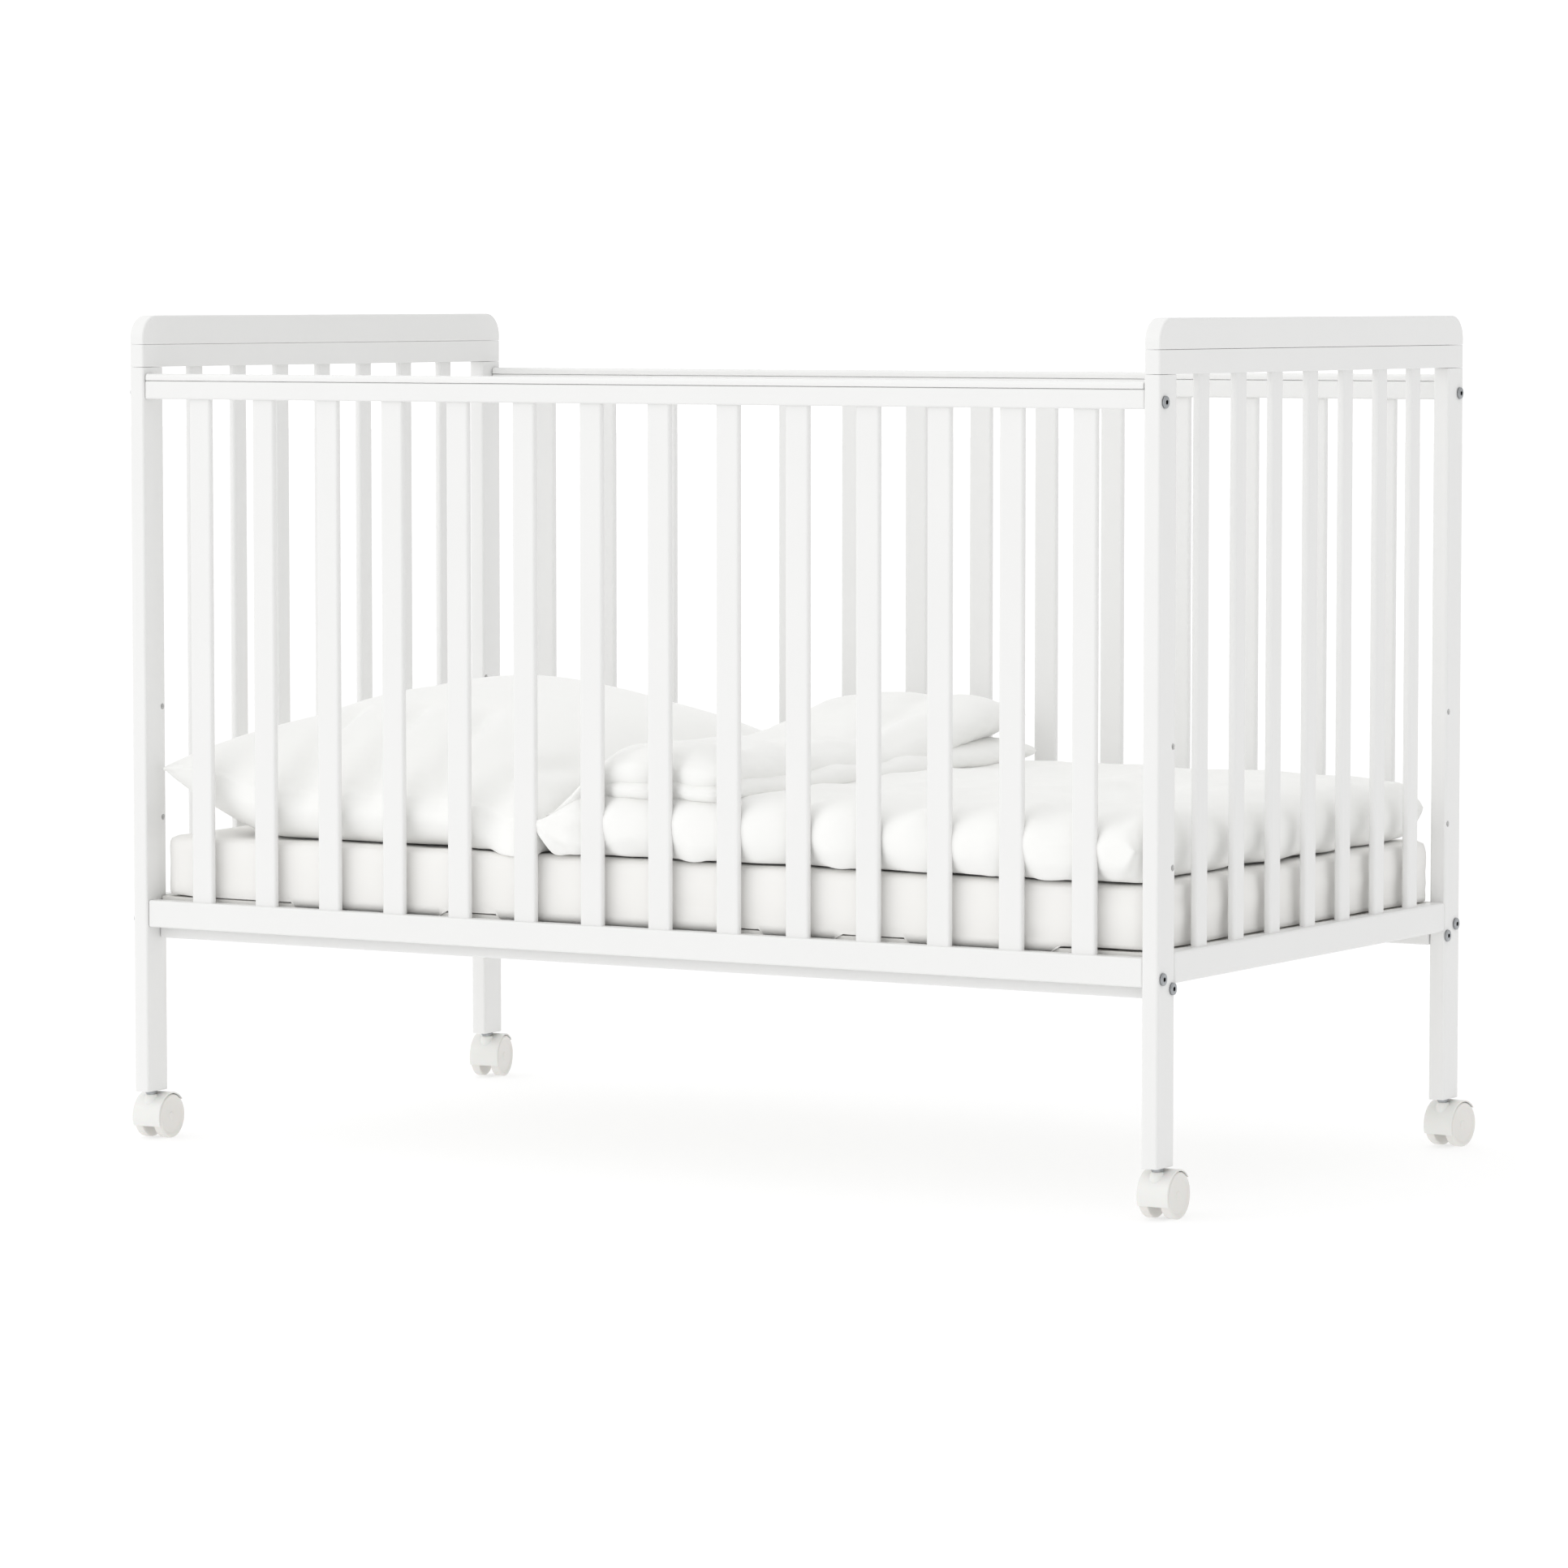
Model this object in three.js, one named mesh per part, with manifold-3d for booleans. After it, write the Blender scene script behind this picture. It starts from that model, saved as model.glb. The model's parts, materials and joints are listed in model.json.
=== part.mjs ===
// Baby crib with slatted sides, height-adjustable mattress base and four twin-wheel casters.
// Millimetres. X runs along the length (head end at -X), the front side faces -Y, +Z is up.
import * as THREE from "three";
import Module from "manifold-3d";

const wasm = await Module();
wasm.setup();

// ---- driving dimensions ----
const LENGTH = 1240; // over the end panels
const WIDTH = 688; // over the posts
const HEIGHT = 884; // floor to the top of the end panels
const GAP = 0.3; // clearance between pieces that touch

const POST_X = 18;
const POST_Y = 36;
const EDGE = 2.4; // eased edge of posts and boards

const TOP_BOARD_H = 31;
const TOP_CORNER = 25;
const UPPER_RAIL_H = 24;
const END_RAIL_Z = 232;
const END_RAIL_H = 31;
const END_SLATS = 7;
const END_SLAT_W = 23.5;
const SLAT_T = 8;

const SIDE_T = 16; // thickness of the side rails
const SIDE_SET = 2; // side rails sit this far behind the posts' outer faces
const SIDE_RAIL_Z = 230;
const SIDE_RAIL_H = 29;
const TOP_RAIL_DROP = 89; // underside of the top rails below the top of the end panels
const TOP_RAIL_H = 19;
const GUARD_H = 8; // the teething guard rises this far above the top rail's shoulder
const GUARD_WALL = 1.5;
const SIDE_SLATS = 14;
const SIDE_SLAT_W = 27;

const TENON_LONG = 8;
const TENON_T = 4;

const BASE_BEAM_T = 16;
const BASE_BEAM_H = 34;
const BASE_BOLT_Z = 227.5;
const BASE_BOLT_ABOVE = 10.5; // bolt line above the beam's underside
const BASE_IN = 5.4; // beam centre line this far inside the posts' inner edges
const LEVEL_PITCH = 119; // between the three heights of the base
const LEVELS = 3;
const DECK_T = 10.7;
const DECK_COLUMNS = 9;
const DECK_PITCH_X = 125;
const DECK_PITCH_Y = 175;
const DECK_SLOT_W = 20;
const DECK_SLOT_L = 110;

const MATTRESS = { x: 1200, y: 646, z: 66, corner: 26, edge: 14 };
const PILLOW = { x: 462, y: 600, z: 160, cx: -366, cy: -10 };
const DUVET = { left: -118, right: 590, y: 624, low: 68, high: 132, bandLeft: -30, bandRight: 150 };

const BOLT_R = 3;
const BOLT_CLEAR = 0.3;
const HEAD_R = 6.25;
const HEAD_H = 2.2;
const SIDE_BOLT_IN = 24; // a side bolt's shank inside its rail

const WHEEL_R = 23.5;
const CASTER_W = 35;
const WHEEL_W = 10.5;
const HOOD_CLEAR = 0.9; // between a wheel and the hood round it
const HOOD_WALL = 1.6;
const NECK = 2.5; // bare stem between the hood and the post
const WEB_T = 6;
const TRAIL = 14.5; // axle behind the swivel stem
const AXLE_R = 2.5;
const STEM_R = 4;
const STEM_IN = 36; // stem inside the post
const RUNNING = 0.07; // radial play of a turning pin
const CASTER_YAW = { front_left: 2, front_right: 0, rear_left: 11, rear_right: -7 }; // degrees

// ---- derived places ----
const TOP_RAIL_Z = HEIGHT - TOP_RAIL_DROP;
const BASE_SET = POST_Y - BASE_IN; // beam centre line behind the posts' outer faces
const HOOD_INNER = WHEEL_R + HOOD_CLEAR;
const HOOD_R = HOOD_INNER + HOOD_WALL;
const POST_FOOT = WHEEL_R + HOOD_R + NECK; // underside of the posts above the floor
const innerX = LENGTH - 2 * POST_X;
const innerY = WIDTH - 2 * POST_Y;
const postCx = (LENGTH - POST_X) / 2;
const postCy = (WIDTH - POST_Y) / 2;
const sideCy = WIDTH / 2 - SIDE_SET - SIDE_T / 2;
const boardZ = HEIGHT - TOP_BOARD_H;
const upperRailZ = boardZ - UPPER_RAIL_H;
const topRailTop = TOP_RAIL_Z + TOP_RAIL_H;
const beamZ = BASE_BOLT_Z - BASE_BOLT_ABOVE;
const beamCy = WIDTH / 2 - BASE_SET;
const deckZ = beamZ + BASE_BEAM_H + GAP;
const mattressZ = deckZ + DECK_T + GAP;
const beddingZ = mattressZ + MATTRESS.z + GAP;
const sideBoltLow = SIDE_RAIL_Z + 8.5;
const sideBoltHigh = TOP_RAIL_Z + 7;
const stemTop = POST_FOOT + STEM_IN;
// The rear casters trail behind the rear posts, so the box reaches further back than forward.
const reachBack = postCy + TRAIL + WHEEL_R + 1.2;
const originY = (reachBack - WIDTH / 2) / 2;

// ---- small helpers ----
const rad = (deg) => (deg * Math.PI) / 180;

function roundedRect(a, b, r) {
  const s = new THREE.Shape();
  const x = a / 2 - r;
  const y = b / 2 - r;
  s.absarc(x, -y, r, -Math.PI / 2, 0);
  s.absarc(x, y, r, 0, Math.PI / 2);
  s.absarc(-x, y, r, Math.PI / 2, Math.PI);
  s.absarc(-x, -y, r, Math.PI, 1.5 * Math.PI);
  return s;
}

// A bar along Z with eased long edges, centred on the origin; bevel eases its ends too.
function bar(a, b, length, r = EDGE, bevel = 0, corner = 2) {
  const g = new THREE.ExtrudeGeometry(roundedRect(a, b, r), {
    depth: length - 2 * bevel,
    bevelEnabled: bevel > 0,
    bevelThickness: bevel,
    bevelSize: bevel,
    bevelOffset: -bevel,
    bevelSegments: 1,
    curveSegments: corner,
  });
  return g.translate(0, 0, bevel - length / 2);
}

const alongX = (g) => g.rotateY(Math.PI / 2);
const alongY = (g) => g.rotateX(-Math.PI / 2);

function block(x0, x1, y0, y1, z0, z1) {
  const g = new THREE.BoxGeometry(x1 - x0, y1 - y0, z1 - z0);
  return g.translate((x0 + x1) / 2, (y0 + y1) / 2, (z0 + z1) / 2);
}

// A cylinder from one end of an axis to the other; axis is "x", "y" or "z".
function rod(axis, r, from, to, at, segments = 12) {
  const g = new THREE.CylinderGeometry(r, r, to - from, segments);
  g.translate(0, (from + to) / 2, 0);
  if (axis === "x") g.rotateZ(-Math.PI / 2);
  if (axis === "z") g.rotateX(Math.PI / 2);
  return g.translate(...at);
}

function toSolid(geometry) {
  const g = geometry.index ? geometry.toNonIndexed() : geometry;
  const p = g.getAttribute("position").array;
  const vertProperties = [];
  const triVerts = [];
  const seen = new Map();
  for (let i = 0; i < p.length; i += 3) {
    const key = [0, 1, 2].map((k) => Math.round(p[i + k] * 1e4)).join();
    if (!seen.has(key)) {
      seen.set(key, vertProperties.length / 3);
      vertProperties.push(p[i], p[i + 1], p[i + 2]);
    }
    triVerts.push(seen.get(key));
  }
  const kept = [];
  for (let i = 0; i < triVerts.length; i += 3) {
    const [a, b, c] = triVerts.slice(i, i + 3);
    if (a !== b && b !== c && c !== a) kept.push(a, b, c);
  }
  return new wasm.Manifold(
    new wasm.Mesh({
      numProp: 3,
      vertProperties: new Float32Array(vertProperties),
      triVerts: new Uint32Array(kept),
    }),
  );
}

function toGeometry(solid) {
  const m = solid.getMesh();
  const g = new THREE.BufferGeometry();
  g.setAttribute("position", new THREE.BufferAttribute(m.vertProperties, 3));
  g.setIndex(new THREE.BufferAttribute(m.triVerts, 1));
  return g;
}

const join = (...gs) => toGeometry(wasm.Manifold.union(gs.map(toSolid)));
const cut = (g, tools) => {
  const tool = wasm.Manifold.union(tools.map(toSolid));
  return toGeometry(wasm.Manifold.difference(toSolid(g), tool));
};

// ---- materials and the group ----
const crib = new THREE.Group();
crib.name = "baby_crib";
const shade = {
  paint: 0xf0f0ee,
  guard: 0xf6f6f4,
  ply: 0xe9e4d8,
  sheet: 0xf1eeec,
  satin: 0xf4f4f4,
  quilt: 0xf2f2f1,
  steel: 0x9a9b9c,
  nylon: 0xf3f2ee,
  tread: 0xeceae6,
};

function add(name, geometry, colour) {
  const g = geometry.index ? geometry.toNonIndexed() : geometry;
  g.computeVertexNormals();
  const material = new THREE.MeshStandardMaterial({ color: shade[colour], roughness: 0.6 });
  const mesh = new THREE.Mesh(g, material);
  mesh.name = name;
  crib.add(mesh);
}

const ends = [
  ["head", -1],
  ["foot", 1],
];
const sides = [
  ["front", -1],
  ["rear", 1],
];
const corners = [
  ["front_left", -1, -1],
  ["front_right", 1, -1],
  ["rear_left", -1, 1],
  ["rear_right", 1, 1],
];

// ---- posts ----
const postTop = upperRailZ - GAP;
for (const [corner, sx, sy] of corners) {
  const over = 10;
  const length = postTop + over - POST_FOOT;
  const blank = bar(POST_X, POST_Y, length, EDGE, 1.8);
  blank.translate(sx * postCx, sy * postCy, POST_FOOT + length / 2);
  const x0 = sx * postCx - POST_X;
  const x1 = sx * postCx + POST_X;
  const y0 = sy * postCy - POST_Y;
  const y1 = sy * postCy + POST_Y;
  const holes = [block(x0, x1, y0, y1, postTop, postTop + 2 * over)];
  const bore = (y, z) => holes.push(rod("x", BOLT_R + BOLT_CLEAR, x0, x1, [0, y, z]));
  bore(sy * sideCy, sideBoltLow);
  bore(sy * sideCy, sideBoltHigh);
  for (let i = 0; i < LEVELS; i++) bore(sy * beamCy, BASE_BOLT_Z + i * LEVEL_PITCH);
  const stemHole = STEM_R + RUNNING;
  const at = [sx * postCx, sy * postCy, 0];
  holes.push(rod("z", stemHole, POST_FOOT - 5, stemTop + 3, at, 20));
  add(`post_${corner}`, cut(blank, holes), "paint");
}

// ---- end panels ----
const tenon = (w, t, z0, z1) => block(-w / 2, w / 2, -t / 2, t / 2, z0, z1);
const endSlatY = (i) => {
  const space = (innerY - END_SLATS * END_SLAT_W) / (END_SLATS + 1);
  return -innerY / 2 + (i + 1) * space + (i + 0.5) * END_SLAT_W;
};
const sideSlatX = (i) => {
  const space = (innerX - SIDE_SLATS * SIDE_SLAT_W) / (SIDE_SLATS + 1);
  return -innerX / 2 + (i + 1) * space + (i + 0.5) * SIDE_SLAT_W;
};
const endTenonW = END_SLAT_W - 5;
const sideTenonW = SIDE_SLAT_W - 5;
const endRailTop = END_RAIL_Z + END_RAIL_H;

for (const [end, sx] of ends) {
  const cx = sx * postCx;
  const mortise = (i, z0, z1) => {
    const g = tenon(endTenonW + 2 * GAP, TENON_T + 2 * GAP, z0, z1);
    return g.rotateZ(Math.PI / 2).translate(cx, endSlatY(i), 0);
  };
  const mortises = (z0, z1) => Array.from({ length: END_SLATS }, (_, i) => mortise(i, z0, z1));

  const outline = new THREE.Shape();
  const half = WIDTH / 2;
  outline.moveTo(-half, boardZ + GAP / 2);
  outline.lineTo(half, boardZ + GAP / 2);
  outline.absarc(half - TOP_CORNER, HEIGHT - TOP_CORNER, TOP_CORNER, 0, Math.PI / 2);
  outline.absarc(TOP_CORNER - half, HEIGHT - TOP_CORNER, TOP_CORNER, Math.PI / 2, Math.PI);
  const ease = 1.8;
  const board = new THREE.ExtrudeGeometry(outline, {
    depth: POST_X - 2 * ease,
    bevelThickness: ease,
    bevelSize: ease,
    bevelOffset: -ease,
    bevelSegments: 1,
    curveSegments: 6,
  });
  board.translate(0, 0, ease - POST_X / 2);
  board.rotateX(Math.PI / 2).rotateZ(Math.PI / 2).translate(cx, 0, 0);
  add(`${end}_top_board`, board, "paint");

  const railH = UPPER_RAIL_H - GAP / 2;
  const upper = alongY(bar(POST_X, railH, WIDTH, 1.6, 1.4));
  upper.translate(cx, 0, upperRailZ + railH / 2);
  const upperSlots = mortises(upperRailZ - 5, upperRailZ + TENON_LONG + GAP);
  add(`${end}_upper_rail`, cut(upper, upperSlots), "paint");

  const lower = alongY(bar(POST_X, END_RAIL_H, innerY - 2 * GAP, 3));
  lower.translate(cx, 0, END_RAIL_Z + END_RAIL_H / 2);
  const lowerSlots = mortises(endRailTop - TENON_LONG - GAP, endRailTop + 5);
  add(`${end}_lower_rail`, cut(lower, lowerSlots), "paint");

  for (let i = 0; i < END_SLATS; i++) {
    const z0 = endRailTop + GAP;
    const z1 = upperRailZ - GAP;
    const body = bar(END_SLAT_W, SLAT_T, z1 - z0, 2.2, 0, 1).translate(0, 0, (z0 + z1) / 2);
    const stub = tenon(endTenonW, TENON_T, z0 - TENON_LONG, z1 + TENON_LONG);
    const slat = join(body, stub).rotateZ(Math.PI / 2).translate(cx, endSlatY(i), 0);
    add(`${end}_slat_${i + 1}`, slat, "paint");
  }
}

// ---- fixed sides ----
for (const [side, sy] of sides) {
  const cy = sy * sideCy;
  const railLength = innerX - 2 * GAP;
  const lower = alongX(bar(SIDE_RAIL_H, SIDE_T, railLength)).translate(
    0,
    cy,
    SIDE_RAIL_Z + SIDE_RAIL_H / 2,
  );
  const z0 = SIDE_RAIL_Z + SIDE_RAIL_H - 4;
  const z1 = TOP_RAIL_Z - GAP;
  const slats = [];
  const pockets = [];
  for (let i = 0; i < SIDE_SLATS; i++) {
    const x = sideSlatX(i);
    slats.push(bar(SIDE_SLAT_W, SLAT_T, z1 - z0, 2.2, 0, 1).translate(x, cy, (z0 + z1) / 2));
    slats.push(tenon(sideTenonW, TENON_T, z1 - 2, z1 + TENON_LONG).translate(x, cy, 0));
    const pocket = tenon(sideTenonW + 2 * GAP, TENON_T + 2 * GAP, z1 - 5, z1 + TENON_LONG + 2 * GAP);
    pockets.push(pocket.translate(x, cy, 0));
  }
  const shankBore = (z, long) =>
    [-1, 1].map((sx) => {
      const inside = sx * (innerX / 2 - long);
      const outside = sx * (innerX / 2 + 5);
      const ends2 = [inside, outside].sort((a, b) => a - b);
      return rod("x", BOLT_R + BOLT_CLEAR, ...ends2, [0, cy, z]);
    });
  const comb = cut(join(lower, ...slats), shankBore(sideBoltLow, SIDE_BOLT_IN + 2));
  add(`${side}_lower_rail_and_slats`, comb, "paint");

  // The top rail has a narrower tongue, over which the teething guard clips.
  const tongue = SIDE_T - 2 * GUARD_WALL - 2 * GAP;
  const profile = new THREE.Shape();
  const h = SIDE_T / 2;
  const c = 2;
  profile.setFromPoints(
    [
      [-h + c, TOP_RAIL_Z],
      [h - c, TOP_RAIL_Z],
      [h, TOP_RAIL_Z + c],
      [h, topRailTop],
      [tongue / 2, topRailTop],
      [tongue / 2, topRailTop + GUARD_H - GUARD_WALL - 2.5],
      [tongue / 2 - 2, topRailTop + GUARD_H - GUARD_WALL - GAP],
      [2 - tongue / 2, topRailTop + GUARD_H - GUARD_WALL - GAP],
      [-tongue / 2, topRailTop + GUARD_H - GUARD_WALL - 2.5],
      [-tongue / 2, topRailTop],
      [-h, topRailTop],
      [-h, TOP_RAIL_Z + c],
    ].map(([y, z]) => new THREE.Vector2(y, z)),
  );
  const run = (shape, length) => {
    const g = new THREE.ExtrudeGeometry(shape, { depth: length, bevelEnabled: false });
    g.translate(0, 0, -length / 2);
    return g.rotateX(Math.PI / 2).rotateZ(Math.PI / 2).translate(0, cy, 0);
  };
  const topHoles = [...pockets, ...shankBore(sideBoltHigh, SIDE_BOLT_IN + 2)];
  add(`${side}_top_rail`, cut(run(profile, railLength), topHoles), "paint");

  const w = h + 0.2;
  const lip = 0.8; // open line between the guard's lip and the rail's shoulder
  const crown = topRailTop + GUARD_H;
  const inner = tongue / 2 + GAP;
  const guard = new THREE.Shape();
  guard.setFromPoints(
    [
      [inner, topRailTop + lip],
      [w - 0.3, topRailTop + lip],
      [w, topRailTop + lip + 0.4],
      [w, crown - 3.4],
      [w - 0.9, crown - 1.3],
      [w - 2.8, crown],
      [2.8 - w, crown],
      [0.9 - w, crown - 1.3],
      [-w, crown - 3.4],
      [-w, topRailTop + lip + 0.4],
      [0.3 - w, topRailTop + lip],
      [-inner, topRailTop + lip],
      [-inner, crown - GUARD_WALL - 2.2],
      [2.1 - inner, crown - GUARD_WALL],
      [inner - 2.1, crown - GUARD_WALL],
      [inner, crown - GUARD_WALL - 2.2],
    ].map(([y, z]) => new THREE.Vector2(y, z)),
  );
  add(`${side}_teething_guard`, run(guard, innerX - 3), "guard");
}

// ---- connector bolts ----
function bolt(shank) {
  const p = [
    [0, HEAD_H],
    [HEAD_R - 0.7, HEAD_H],
    [HEAD_R, HEAD_H - 0.7],
    [HEAD_R, 0],
    [BOLT_R, 0],
    [BOLT_R, -shank],
    [0, -shank],
  ].map(([r, z]) => new THREE.Vector2(r, z));
  const body = new THREE.LatheGeometry(p.reverse(), 12);
  const socket = new THREE.CylinderGeometry(2.3, 2.3, 2.8, 6).translate(0, HEAD_H, 0);
  return cut(body, [socket]).rotateZ(-Math.PI / 2);
}
for (const [corner, sx, sy] of corners) {
  const face = sx * (LENGTH / 2 + GAP);
  const place = (g, y, z) => {
    if (sx < 0) g.rotateZ(Math.PI);
    return g.translate(face, y, z);
  };
  const long = POST_X + GAP + SIDE_BOLT_IN;
  add(`bolt_side_low_${corner}`, place(bolt(long), sy * sideCy, sideBoltLow), "steel");
  add(`bolt_side_high_${corner}`, place(bolt(long), sy * sideCy, sideBoltHigh), "steel");
  // The base bolts stop at the posts' inner faces, so that the base can change its level.
  add(`bolt_base_${corner}`, place(bolt(POST_X), sy * beamCy, BASE_BOLT_Z), "steel");
}

// ---- mattress base ----
for (const [side, sy] of sides) {
  const beam = alongX(bar(BASE_BEAM_H, BASE_BEAM_T, innerX - 2 * GAP, 2));
  beam.translate(0, sy * beamCy, beamZ + BASE_BEAM_H / 2);
  add(`base_beam_${side}`, beam, "paint");
}
const deck = new THREE.ExtrudeGeometry(
  roundedRect(innerX - 4, 2 * beamCy + BASE_BEAM_T, 4),
  { depth: DECK_T, bevelEnabled: false, curveSegments: 2 },
);
const airSlots = [];
for (let i = 0; i < DECK_COLUMNS; i++) {
  for (const row of [-1, 0, 1]) {
    const slot = new THREE.BoxGeometry(DECK_SLOT_W, DECK_SLOT_L, DECK_T * 2);
    const x = (i - (DECK_COLUMNS - 1) / 2) * DECK_PITCH_X;
    airSlots.push(slot.translate(x, row * DECK_PITCH_Y, DECK_T / 2));
  }
}
add("base_deck", cut(deck, airSlots).translate(0, 0, deckZ), "ply");

// ---- bedding ----
function slab(x, y, z, corner, edge) {
  const g = new THREE.ExtrudeGeometry(roundedRect(x, y, corner), {
    depth: z - 2 * edge,
    bevelThickness: edge,
    bevelSize: edge,
    bevelOffset: -edge,
    bevelSegments: 2,
    curveSegments: 3,
  });
  return g.translate(0, 0, edge);
}
const mattress = slab(MATTRESS.x, MATTRESS.y, MATTRESS.z, MATTRESS.corner, MATTRESS.edge);
add("mattress", mattress.translate(0, 0, mattressZ), "sheet");

function cushion(size) {
  const g = new THREE.SphereGeometry(1, 24, 10);
  const p = g.getAttribute("position");
  const soft = (v, k) => Math.sign(v) * Math.abs(v) ** k;
  for (let i = 0; i < p.count; i++) {
    const [x, z, y] = [p.getX(i), p.getY(i), p.getZ(i)];
    const round = Math.max(Math.hypot(x, y), 1e-6);
    const square = Math.max(Math.abs(x), Math.abs(y), round * 0.7) / round;
    const grow = soft(round, 0.7) / square;
    p.setXYZ(
      i,
      ((x / round) * grow * size.x) / 2,
      (-(y / round) * grow * size.y) / 2,
      (soft(z, 0.95) * size.z) / 2,
    );
  }
  return g;
}
const pillow = cushion(PILLOW);
pillow.translate(PILLOW.cx, PILLOW.cy, beddingZ + PILLOW.z / 2);
add("pillow", pillow, "satin");

// The duvet is folded flat, with its head edge turned back over itself as a thicker band.
const fold = new THREE.Shape();
fold.setFromPoints(
  [
    [DUVET.left, 34],
    [DUVET.left + 30, 2],
    [DUVET.right - 18, 0],
    [DUVET.right, 30],
    [DUVET.right - 12, DUVET.low - 10],
    [DUVET.right - 60, DUVET.low],
    [DUVET.bandRight + 24, DUVET.low + 4],
    [DUVET.bandRight, DUVET.high - 34],
    [DUVET.bandRight - 34, DUVET.high],
    [DUVET.bandLeft + 40, DUVET.high],
    [DUVET.bandLeft, DUVET.high - 34],
    [DUVET.bandLeft - 6, DUVET.low],
    [DUVET.left + 20, DUVET.low - 10],
  ].map(([x, z]) => new THREE.Vector2(x, z)),
);
const folded = new THREE.ExtrudeGeometry(fold, {
  depth: DUVET.y - 28,
  bevelThickness: 14,
  bevelSize: 10,
  bevelOffset: -10,
  bevelSegments: 2,
});
folded.rotateX(Math.PI / 2).translate(0, DUVET.y / 2 - 14, beddingZ);
add("duvet", folded, "quilt");

// ---- casters ----
// Local frame: swivel stem on Z through the origin, wheels on X, the axle trails towards +Y.
const polar = (r, deg) => [TRAIL + r * Math.cos(rad(deg)), WHEEL_R + r * Math.sin(rad(deg))];
function hoodProfile() {
  const points = [];
  const [from, to, steps] = [202, 42, 12];
  for (let i = 0; i <= steps; i++) {
    const a = from + ((to - from) * i) / steps;
    points.push(polar(HOOD_R + 2.7 * Math.exp(-(((a - 118) / 20) ** 2)), a));
  }
  for (const a of [30, -30, -90, -150]) points.push(polar(6.5, a));
  return points.map(([y, z]) => new THREE.Vector2(y, z));
}
function across(shape, width) {
  const g = new THREE.ExtrudeGeometry(shape, { depth: width, bevelEnabled: false });
  g.translate(0, 0, -width / 2);
  return g.rotateX(Math.PI / 2).rotateZ(Math.PI / 2);
}
function housing() {
  const hood = across(new THREE.Shape(hoodProfile()), CASTER_W);
  const axle = [0, TRAIL, WHEEL_R];
  const room = [-1, 1].map((s) => {
    const span = [(s * WEB_T) / 2, s * CASTER_W].sort((a, b) => a - b);
    return rod("x", HOOD_INNER, ...span, axle, 28);
  });
  const reach = CASTER_W / 2 - 2.6;
  return join(
    cut(hood, room),
    rod("x", AXLE_R, -reach, reach, axle, 16),
    rod("z", 5.5, 42, POST_FOOT - 0.6, [0, 0, 0], 12),
    rod("z", STEM_R, 42, stemTop, [0, 0, 0], 20),
  );
}
function wheel(s) {
  const sidesRound = 20;
  const flat = Math.cos(Math.PI / sidesRound); // radii are measured to the flats
  const out = CASTER_W / 2;
  const p = [
    [0, out - 0.6],
    [19, out - 0.6],
    [21.4, out],
    [WHEEL_R, out - 2],
    [WHEEL_R, out - WHEEL_W + 1],
    [WHEEL_R - 1, out - WHEEL_W],
    [6, out - WHEEL_W],
    [6, WEB_T / 2 + GAP],
    [AXLE_R + RUNNING, WEB_T / 2 + GAP],
    [AXLE_R + RUNNING, out - 2.3],
    [0, out - 2.3],
  ].map(([r, x]) => new THREE.Vector2(r / flat, x));
  const g = new THREE.LatheGeometry(p.reverse(), sidesRound, Math.PI / sidesRound);
  return g.rotateZ(s > 0 ? -Math.PI / 2 : Math.PI / 2).translate(0, TRAIL, WHEEL_R);
}
for (const [corner, sx, sy] of corners) {
  const place = (g) => g.rotateZ(rad(CASTER_YAW[corner])).translate(sx * postCx, sy * postCy, 0);
  add(`caster_${corner}_housing`, place(housing()), "nylon");
  add(`caster_${corner}_wheel_a`, place(wheel(-1)), "tread");
  add(`caster_${corner}_wheel_b`, place(wheel(1)), "tread");
}

crib.position.y = -originY;
export default crib;
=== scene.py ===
"""A white slatted baby crib on twin-wheel casters, with its mattress, pillow and folded duvet."""

import json
import math

import bmesh
import bpy
from mathutils import Matrix, Vector, noise


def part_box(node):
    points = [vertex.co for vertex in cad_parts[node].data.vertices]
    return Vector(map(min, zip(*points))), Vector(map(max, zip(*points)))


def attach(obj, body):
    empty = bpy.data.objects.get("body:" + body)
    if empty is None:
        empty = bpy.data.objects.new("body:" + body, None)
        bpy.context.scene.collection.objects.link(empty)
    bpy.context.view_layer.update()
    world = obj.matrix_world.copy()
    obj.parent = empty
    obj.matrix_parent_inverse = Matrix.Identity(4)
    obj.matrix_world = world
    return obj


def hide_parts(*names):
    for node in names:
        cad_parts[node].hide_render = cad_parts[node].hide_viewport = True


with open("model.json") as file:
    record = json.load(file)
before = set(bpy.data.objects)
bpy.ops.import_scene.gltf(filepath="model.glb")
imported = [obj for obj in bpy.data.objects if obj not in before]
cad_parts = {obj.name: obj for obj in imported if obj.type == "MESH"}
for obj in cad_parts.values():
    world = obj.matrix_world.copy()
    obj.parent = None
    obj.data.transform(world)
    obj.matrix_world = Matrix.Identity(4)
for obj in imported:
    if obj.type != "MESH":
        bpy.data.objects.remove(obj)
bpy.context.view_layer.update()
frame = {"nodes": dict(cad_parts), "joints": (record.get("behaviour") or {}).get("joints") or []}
scene = bpy.context.scene
MM = 0.001
TINY = 1e-6  # metres; closer than this is the same place
CORNERS = ("front_left", "front_right", "rear_left", "rear_right")
ENDS = ("head", "foot")
SIDES = ("front", "rear")

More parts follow.
